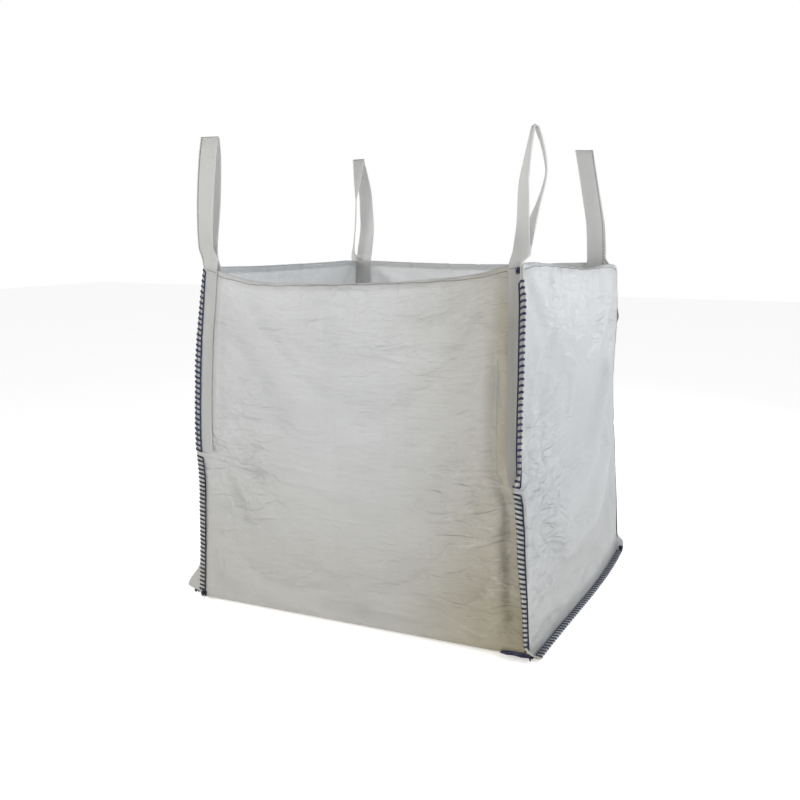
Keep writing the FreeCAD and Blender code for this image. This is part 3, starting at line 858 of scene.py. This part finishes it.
def base_stitches(side, pitch):
    """Overlock along a fin that lies on the floor."""
    shape = bmesh.new()
    reach = HALF_Y - FOLD
    count = int(2 * reach / pitch)
    line = []
    for index in range(count + 1):
        deep = -1 + (FOLD + pitch * index) / HALF_Y
        tilt = BASE_TILT * (1 - smooth(abs(deep), 0.90, 1.0))
        out = Vector((side * math.cos(tilt), 0, math.sin(tilt)))
        face = Vector((-side * math.sin(tilt), 0, math.cos(tilt)))
        tip = wall(side, deep, 0) + out * (FIN - 0.001) + face * 0.0022
        slant = Vector((side * 0.25, 1, 0)).normalized()
        add_ribbon_stitch(shape, tip, out, face, slant, BASE_BAND, 0.0024, pitch * 0.34)
        line.append(tip - out * BASE_BAND + face * 0.0034)
    add_thread(shape, line, 0.0013)
    return shape


def hem_line(start, end, count, trees):
    """A row of stitches on a wall's outer face, from one unit place to the other."""
    shape = bmesh.new()
    for index in range(count):
        points = []
        for part in (0.06, 0.3, 0.5, 0.7, 0.94):
            spot = Vector(start).lerp(Vector(end), (index + part) / count)
            away = Vector([value if abs(value) > 0.999 else 0 for value in spot]).normalized()
            level = 1 - HEM * (0.72 + 0.04 * math.sin(index * 0.7)) / RIM
            arch = 0.0006 * math.sin(math.pi * part)
            points.append(outer_face(trees, wall(spot.x, spot.y, level), away) + away * arch)
        add_thread(shape, points, 0.0007, sides=5)
    return shape


def outer_face(trees, target, away):
    """The cloth's outermost point on a line through the target."""
    start = target + away * 0.08
    hits = [tree.ray_cast(start, -away, 0.16) for tree in trees]
    found = [hit[0] for hit in hits if hit[0] is not None]
    if not found:
        return target + away * CLOTH
    return max(found, key=lambda spot: spot.dot(away)) + away * (CLOTH * 0.5 + 0.0003)


def loose_end(corner, strand):
    """The points of one end of thread that hangs down the fin to the floor."""
    points = []
    for step in range(16):
        height = 0.052 - step * 0.0031
        out, face = fin_frame(corner, height / RIM)
        swing = 0.004 * math.sin(step * 0.9 + strand * 2.1)
        spot = corner_edge(corner, height / RIM) + out * (0.010 + swing) + face * -0.005
        points.append(Vector((spot.x, spot.y, max(0.003, height))))
    return points


def finish_runs(corner, upper, lower, top):
    """The knots and loose ends that the two front corners' runs of thread finish in."""
    if corner == "front_right":
        out, face = fin_frame(corner, top)
        knot = corner_edge(corner, top + 0.010) + out * 0.012 + face * 0.006
        add_knot(upper, knot, (0.008, 0.005, 0.010), 0.0012, 5)
        for strand in range(3):
            add_thread(lower, loose_end(corner, strand), THREAD, sides=5)
    if corner == "front_left":
        for shift, size, turns in ((0.0, (0.010, 0.006, 0.010), 7), (0.022, (0.010, 0.005, 0.008), 6)):
            knot = corner_edge(corner, 0.02) + Vector((-0.012 - shift, -0.003, shift * 0.3))
            add_knot(lower, knot, size, 0.0012, turns)


def finish_base(shape):
    """The base run's two ends: a bundle folded under the front corner, and a knot at the back one."""
    corner = wall(1, -1, 0)
    for strand in range(7):
        points = []
        for step in range(14):
            share = step / 13
            wave = 0.0016 * math.sin(step * 1.1 + strand)
            height = 0.0022 + 0.0062 * math.sin(math.pi * share) * (strand % 3) / 2
            spot = corner + Vector((0.012 - 0.080 * share, -0.0030 - 0.0016 * strand + wave, height))
            points.append(spot)
        add_thread(shape, points, 0.0018, sides=5)
    back = wall(1, 1 - FOLD / HALF_Y, 0)
    add_knot(shape, back + Vector((FIN - 0.004, 0.002, 0.012)), (0.007, 0.006, 0.010), 0.0012, 6)


def make_threads():
    made = []
    for corner in CORNERS:
        top = RIM - (0.022 if corner == "front_right" else 0.004)
        upper = corner_stitches(corner, TAIL_LOW + 0.004, top, UPPER_PITCH, True)
        lower = corner_stitches(corner, 0.034, TAIL_LOW - 0.010, LOWER_PITCH, False)
        finish_runs(corner, upper, lower, top / RIM)
        for word, shape in (("upper", upper), ("lower", lower)):
            piece = new_object(f"{word}_stitching_{corner}", shape)
            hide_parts(f"{word}_overlock_{corner}")
            made.append(piece)
    for word, side in (("right", 1), ("left", -1)):
        shape = base_stitches(side, BASE_PITCH)
        if side > 0:
            finish_base(shape)
        piece = new_object(f"base_stitching_{word}", shape)
        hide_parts(f"base_overlock_{word}")
        made.append(piece)
    return made


# ---- finishes ----


class Value:
    """A number that varies over a surface; arithmetic on it adds Math nodes."""

    def __init__(self, finish, socket):
        self.finish = finish
        self.socket = socket

    def combine(self, operation, *others):
        links = {index: item for index, item in enumerate((self, *others))}
        return self.finish.value("ShaderNodeMath", {"operation": operation}, links)

    def flipped(self, operation, other):
        return self.finish.value("ShaderNodeMath", {"operation": operation}, {0: other, 1: self})

    def __add__(self, other):
        return self.combine("ADD", other)

    def __radd__(self, other):
        return self.combine("ADD", other)

    def __sub__(self, other):
        return self.combine("SUBTRACT", other)

    def __rsub__(self, other):
        return self.flipped("SUBTRACT", other)

    def __mul__(self, other):
        return self.combine("MULTIPLY", other)

    def __truediv__(self, other):
        return self.combine("DIVIDE", other)

    def __pow__(self, other):
        return self.combine("POWER", other)

    def wave(self):
        return self.combine("SINE")

    def part(self):
        return self.combine("FRACT")

    def size(self):
        return self.combine("ABSOLUTE")

    def eased(self, low, high):
        """0 below low and 1 above high."""
        facts = {"interpolation_type": "SMOOTHSTEP"}
        return self.finish.value("ShaderNodeMapRange", facts, {0: self, 1: low, 2: high})


class Finish:
    """A material made of nodes."""

    def __init__(self, name):
        self.material = bpy.data.materials.new(name)
        self.material.use_nodes = True
        self.tree = self.material.node_tree
        self.tree.nodes.clear()

    def node(self, kind, facts=None, links=None):
        """Add a node, set its settings and then its sockets, by number or by name."""
        made = self.tree.nodes.new(kind)
        for key, fact in (facts or {}).items():
            setattr(made, key, fact)
        for key, item in (links or {}).items():
            socket = item.socket if isinstance(item, Value) else item
            if isinstance(socket, bpy.types.NodeSocket):
                self.tree.links.new(socket, made.inputs[key])
            else:
                made.inputs[key].default_value = socket
        return made

    def value(self, kind, facts=None, links=None, output=0):
        return Value(self, self.node(kind, facts, links).outputs[output])

    def mixed(self, factor, first, second, blend="MIX"):
        facts = {"data_type": "RGBA", "blend_type": blend}
        return self.value("ShaderNodeMix", facts, {0: factor, 6: first, 7: second}, 2)

    def split(self, vector):
        made = self.node("ShaderNodeSeparateXYZ", None, {0: vector})
        return [Value(self, made.outputs[index]) for index in range(3)]

    def noise(self, vector, scale, detail=2.0, rough=0.5, bent=0.0):
        links = {"Vector": vector, "Scale": scale, "Detail": detail, "Roughness": rough}
        links["Distortion"] = bent
        return self.value("ShaderNodeTexNoise", None, links)

    def crease_lines(self, waves, sharpness):
        """Branching ridges along the middle level of a noise."""
        return (1 - (waves * 2 - 1).size() * 1.6) ** sharpness

    def stretched(self, vector, scale, turn=0.0):
        facts = {"vector_type": "POINT"}
        links = {"Vector": vector, "Scale": scale, "Rotation": (0, 0, turn)}
        return self.value("ShaderNodeMapping", facts, links)

    def bump(self, height, distance):
        return self.value("ShaderNodeBump", None, {"Height": height, "Distance": distance, "Strength": 1.0})

    def finish(self, shader):
        made = self.tree.nodes.new("ShaderNodeOutputMaterial")
        self.tree.links.new(shader.outputs[0], made.inputs[0])
        return self.material

    def surface(self, links, through=None):
        """A Principled surface, with a share of the light coming through it when through is given."""
        shader = self.node("ShaderNodeBsdfPrincipled", None, links)
        if through is None:
            return self.finish(shader)
        share, tint = through
        glow = self.node("ShaderNodeBsdfTranslucent", None, {"Color": tint})
        both = {0: share, 1: shader.outputs[0], 2: glow.outputs[0]}
        return self.finish(self.node("ShaderNodeMixShader", None, both))


def soft_folds(made, flat):
    """Broad folds that cross the cloth, and the narrower pleats between them."""
    folds = made.noise(made.stretched(flat, (1, 1.8, 1), 0.6), 7.0, 4.0, 0.55, 1.2)
    pleats = made.noise(made.stretched(flat, (1, 3.2, 1), -0.35), 12.0, 3.0, 0.5, 0.6)
    return folds * 0.9 + pleats * 0.6


def sharp_creases(made, flat):
    """Thin ridges where the stiff cloth has been crumpled, in two sizes."""
    broad = made.noise(made.stretched(flat, (1, 2.6, 1), -0.25), 7.0, 2.0, 0.5, 0.7)
    small = made.noise(made.stretched(flat, (1, 2.2, 1), 0.35), 17.0, 2.0, 0.5, 0.5)
    return made.crease_lines(broad, 10.0) + made.crease_lines(small, 7.0) * 0.6


def cloth_finish(name, light, shade, painted_shade_place, crumpled):
    """Woven polypropylene tape: a fine plain weave, streaky tapes, crumples and a soft gloss, with painted
    shade and painted glints on the creases.
    """
    made = Finish(name)
    flat = made.value("ShaderNodeTexCoord", output=2)
    spot = made.value("ShaderNodeTexCoord", output=3)
    across, run, _ = made.split(flat)
    x, y, z = made.split(spot)
    tape = math.pi / 0.0026
    weave = (across * tape).wave() * (run * tape).wave()
    warp_streaks = made.noise(made.stretched(flat, (260, 3, 1)), 1.0, 2.0)
    weft_streaks = made.noise(made.stretched(flat, (3, 260, 1)), 1.0, 2.0)
    patches = made.noise(spot, 5.0, 3.0)
    ripples = made.noise(made.stretched(flat, (1, 4.5, 1), -0.12), 26.0, 3.0, 0.6, 0.6)
    sharp = sharp_creases(made, flat) * crumpled(x, y, z)
    crumples = soft_folds(made, flat) + ripples * 0.34 + sharp * 0.42
    normal = made.bump(crumples + weave * 0.0133, 0.009)
    # The tone is partly the tapes' own random patches and streaks, and partly painted light and shade that
    # follows the ripples of the bump.
    tone = patches * 0.35 + warp_streaks * 0.20 + weft_streaks * 0.20 + ripples * 0.25
    colour = made.mixed(tone.eased(0.35, 0.65), light, shade)
    # Painted shade: the shade function darkens the colour towards a warm brown and lets less light through
    # the cloth.
    painted_shade = painted_shade_place(x, y, z)
    colour = made.mixed(painted_shade, colour, (0.31, 0.268, 0.165, 1))
    # Painted highlight: the sharp crease lines are tinted near-white as glints.
    colour = made.mixed(sharp.eased(0.2, 1.2) * 0.25, colour, (0.88, 0.89, 0.90, 1))
    rough = 0.26 + patches * 0.16
    links = {"Base Color": colour, "Roughness": rough, "Normal": normal, "IOR": 1.46}
    return made.surface(links, through=(0.50 - painted_shade * 0.40, (0.93, 0.94, 0.95, 1)))


def webbing_finish(name, marked):
    """Flat polypropylene webbing in a herringbone weave, with a dark yarn near one edge if marked, and
    painted shade on the tails towards the right-hand corners.
    """
    made = Finish(name)
    flat = made.value("ShaderNodeTexCoord", output=2)
    run, across, _ = made.split(flat)
    column = ((across / 0.0130).part() - 0.5).size()
    ribs = ((run / 0.0042 + column * 2.6) * 2 * math.pi).wave()
    cords = (across * (2 * math.pi / 0.0022)).wave()
    streak = made.noise(made.stretched(flat, (2, 300, 1)), 1.0, 2.0)
    patches = made.noise(flat, 22.0, 3.0)
    tone = streak * 0.5 + patches * 0.3 + ribs * 0.20 + 0.1
    x, _, height = made.split(made.value("ShaderNodeTexCoord", output=3))
    # A lit copy of the webbing's colour for the loops and a darker painted-shade copy for the tails; shaded
    # mixes them, most low down towards the right, and lets less light through there.
    loop = made.mixed(tone.eased(0.25, 0.75), (0.74, 0.74, 0.73, 1), (0.88, 0.88, 0.87, 1))
    tail = made.mixed(tone.eased(0.25, 0.75), (0.26, 0.25, 0.22, 1), (0.45, 0.44, 0.40, 1))
    shaded = (1 - height.eased(0.78, 0.96)) * x.eased(-0.45, 0.45)
    colour = made.mixed(shaded * 0.8 + 0.1, loop, tail)
    if marked:
        off_edge = (across - (WEB_WIDTH - 0.0042)).size()
        yarn = (1 - off_edge.eased(0.0013, 0.0019)) * (run / 0.009).part().eased(0.10, 0.3)
        colour = made.mixed(yarn, colour, (0.02, 0.05, 0.04, 1))
    normal = made.bump(ribs * 0.7 + cords * 0.3, 0.0008)
    links = {"Base Color": colour, "Roughness": 0.62 + streak * 0.1, "Normal": normal, "Sheen Weight": 0.2}
    return made.surface(links, through=(0.48 - shaded * 0.40, (0.90, 0.90, 0.89, 1)))


def thread_finish(name, low_colour, high_colour, low, high):
    """Twisted thread whose dye differs between the bottom and the top of the bag."""
    made = Finish(name)
    spot = made.value("ShaderNodeTexCoord", output=3)
    x, y, z = made.split(spot)
    ply = ((x + y + z * 0.7) * (2 * math.pi / 0.0016)).wave()
    patches = made.noise(spot, 70.0, 2.0)
    colour = made.mixed(z.eased(low, high), low_colour, high_colour)
    colour = made.mixed(patches.eased(0.35, 0.75) * 0.30, colour, (0.16, 0.17, 0.28, 1))
    links = {"Base Color": colour, "Roughness": 0.7, "Normal": made.bump(ply, 0.0003)}
    return made.surface(links)


def dress(pieces, material):
    for piece in pieces:
        piece.data.materials.clear()
        piece.data.materials.append(material)


# ---- the room ----


def make_floor():
    shape = bmesh.new()
    bmesh.ops.create_grid(shape, x_segments=8, y_segments=8, size=12.0)
    bmesh.ops.translate(shape, verts=shape.verts[:], vec=(0, 0, -0.0005))
    floor = new_object("floor", shape, body=None)
    made = Finish("pale floor")
    spot = made.value("ShaderNodeTexCoord", output=3)
    colour = made.mixed(made.noise(spot, 2.0), (0.90, 0.90, 0.90, 1), (0.93, 0.93, 0.93, 1))
    links = {"Base Color": colour, "Roughness": 0.9}
    links |= {"Emission Color": (1, 1, 1, 1), "Emission Strength": 0.46}
    dress([floor], made.surface(links))


def add_light(name, size, power, place, target, colour):
    light = bpy.data.lights.new(name, "AREA")
    light.size = size
    light.energy = power
    light.color = colour
    made = bpy.data.objects.new(name, light)
    made.location = place
    made.rotation_euler = (Vector(target) - Vector(place)).to_track_quat("-Z", "Y").to_euler()
    bpy.context.scene.collection.objects.link(made)


def make_world():
    """A white backdrop, which lights the bag from behind, and a dimmer room all round it."""
    world = bpy.data.worlds.new("studio")
    world.use_nodes = True
    tree = world.node_tree
    tree.nodes.clear()
    looking = tree.nodes.new("ShaderNodeTexCoord")
    towards = tree.nodes.new("ShaderNodeVectorMath")
    towards.operation = "DOT_PRODUCT"
    towards.inputs[1].default_value = AWAY
    level = tree.nodes.new("ShaderNodeMapRange")
    level.interpolation_type = "SMOOTHSTEP"
    for index, number in enumerate((0.55, 0.80, ROOM_LIGHT, 1.0), start=1):
        level.inputs[index].default_value = number
    lighting = tree.nodes.new("ShaderNodeBackground")
    seen = tree.nodes.new("ShaderNodeBackground")
    for background in (lighting, seen):
        background.inputs[0].default_value = (1.0, 1.0, 1.0, 1)
    path = tree.nodes.new("ShaderNodeLightPath")
    mix = tree.nodes.new("ShaderNodeMixShader")
    end = tree.nodes.new("ShaderNodeOutputWorld")
    tree.links.new(looking.outputs["Generated"], towards.inputs[0])
    tree.links.new(towards.outputs["Value"], level.inputs[0])
    tree.links.new(level.outputs[0], lighting.inputs[1])
    tree.links.new(path.outputs["Is Camera Ray"], mix.inputs[0])
    tree.links.new(lighting.outputs[0], mix.inputs[1])
    tree.links.new(seen.outputs[0], mix.inputs[2])
    tree.links.new(mix.outputs[0], end.inputs[0])
    bpy.context.scene.world = world


def make_room():
    """The studio: its world, a lamp on each side of the bag and one low behind it."""
    bpy.context.scene.view_settings.view_transform = "Standard"
    make_world()
    middle = (0, 0, 0.45)
    add_light("key", 0.8, 36, (2.8, -1.2, 1.7), middle, (0.96, 0.98, 1.0))
    add_light("window", 0.6, 36, (-1.9, -2.5, 1.7), middle, (1.0, 0.99, 0.96))
    add_light("gloss", 0.5, 20, (1.7, 2.3, 1.2), middle, (0.95, 0.97, 1.0))


def make_camera():
    camera = bpy.data.cameras.new("camera")
    camera.lens = 43.0
    camera.sensor_width = 36.0
    made = bpy.data.objects.new("camera", camera)
    made.location = (1.075, -2.479, 1.003)
    pitch = math.radians(90 - 10.13)
    made.rotation_euler = (pitch, 0, math.radians(24.95))
    bpy.context.scene.collection.objects.link(made)
    bpy.context.scene.camera = made


def make_hems(cloths):
    """A row of stitches on each wall, below the rim."""
    trees = []
    for cloth in cloths.values():
        shape = bmesh.new()
        shape.from_mesh(cloth.data)
        trees.append(BVHTree.FromBMesh(shape))
        shape.free()
    runs = {
        "front": ((-0.935, -1, 0), (0.925, -1, 0)),
        "right": ((1, -0.985, 0), (1, 0.985, 0)),
        "back": ((0.93, 1, 0), (-0.93, 1, 0)),
        "left": ((-1, 0.985, 0), (-1, -0.985, 0)),
    }
    made = []
    for side, (start, end) in runs.items():
        piece = new_object(f"hem_stitching_{side}", hem_line(start, end, HEM_STITCHES, trees))
        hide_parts(f"hem_thread_{side}")
        made.append(piece)
    return made


def make_tacks():
    """A row of stitches that holds each strap to the rim."""
    made = []
    for corner, facts in CORNERS.items():
        shape = bmesh.new()
        lift = Vector((0, facts["sign"][1] * 0.0014, 0))
        for row in range(8):
            shares = [(row + part) / 8 * 0.62 + 0.03 for part in (0.08, 0.4, 0.6, 0.92)]
            spots = [tail_spot(corner, 1, RIM - 0.006, share) + lift for share in shares]
            add_thread(shape, spots, 0.0006, sides=5)
        piece = new_object(f"tack_{corner}", shape)
        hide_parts(f"tack_stitch_{corner}")
        made.append(piece)
    return made


def body_crumples(x, y, z):
    """The body cloth is most crumpled beside the left corner half way up and towards the right foot."""
    left = (1 - (x + 0.40).size().eased(0.05, 0.30)) * (1 - (z - 0.38).size().eased(0.06, 0.26))
    right = (1 - (x - 0.36).size().eased(0.04, 0.22)) * (1 - (z - 0.26).size().eased(0.1, 0.34))
    return left * 0.42 + right * 0.32 + 0.32


def side_crumples(x, y, z):
    """The side cloth is most crumpled beside the front corner, below the end of the webbing."""
    near = (1 - (y + 0.32).size().eased(0.06, 0.34)) * (1 - (z - 0.34).size().eased(0.10, 0.36))
    return near * 0.9 + 0.30


def body_painted_shade(x, y, z):
    """Painted shade, darker low on the front, towards its right-hand corner, in a band beside the near tail
    and at the foot.
    """
    on_front = (0 - y).eased(0.30, 0.42)
    low = 1 - z.eased(0.0, 0.60)
    right = x.eased(0.05, 0.43)
    # beside is a band of painted shadow in the groove beside the front right tail; foot is painted contact
    # shade at the floor.
    beside = (1 - (x - 0.385).size().eased(0.0, 0.05)) * z.eased(0.35, 0.50) * (1 - z.eased(0.78, 0.90))
    foot = 1 - z.eased(0.0, 0.035)
    return on_front * (low * 0.34 + right * 0.50 + low * right * 0.08 + beside * 0.25 + foot * 0.10)


def side_painted_shade(x, y, z):
    """Painted shade low on a side, a faint painted shadow over the webbing behind the cloth, and a faint
    even tint all over.
    """
    low = 1 - z.eased(0.0, 0.40)
    behind = (y - 0.372).size().eased(0.024, 0.020) * z.eased(0.40, 0.44)
    return low * 0.15 + behind * 0.05 + 0.06


def make_materials(cloths, straps, threads, seams):
    """Dress every piece."""
    # The side cloth's cooler tint and the body cloth's warmer one are painted stand-ins for the cool light
    # on the sides and the warm light on the front.
    body = cloth_finish("woven body cloth", (0.70, 0.70, 0.695, 1), (0.61, 0.61, 0.60, 1),
                        body_painted_shade, body_crumples)
    sides = cloth_finish("woven side cloth", (0.68, 0.70, 0.715, 1), (0.60, 0.61, 0.62, 1),
                         side_painted_shade, side_crumples)
    dress([cloths["body_cloth"]], body)
    dress([cloths["right_side_cloth"], cloths["left_side_cloth"]], sides)
    plain = webbing_finish("webbing", False)
    marked = webbing_finish("marked webbing", True)
    for corner, pieces in straps.items():
        dress(pieces, marked if LOOPS[corner]["marked"] else plain)
    navy = (0.016, 0.022, 0.080, 1)
    ink = (0.010, 0.015, 0.024, 1)
    faded = (0.040, 0.045, 0.105, 1)
    brown = (0.30, 0.27, 0.23, 1)
    corner_thread = thread_finish("navy thread", ink, navy, 0.38, 0.52)
    base_thread = thread_finish("faded navy thread", faded, faded, 0.0, 0.5)
    for piece in threads:
        dress([piece], base_thread if piece.name.startswith("base") else corner_thread)
    dress(seams, thread_finish("hem thread", brown, brown, 0.0, 1.0))


cloths = make_cloths()
straps = {corner: make_strap(corner) for corner in CORNERS}
threads = make_threads()
seams = make_hems(cloths) + make_tacks()
make_materials(cloths, straps, threads, seams)

make_floor()
make_room()
make_camera()
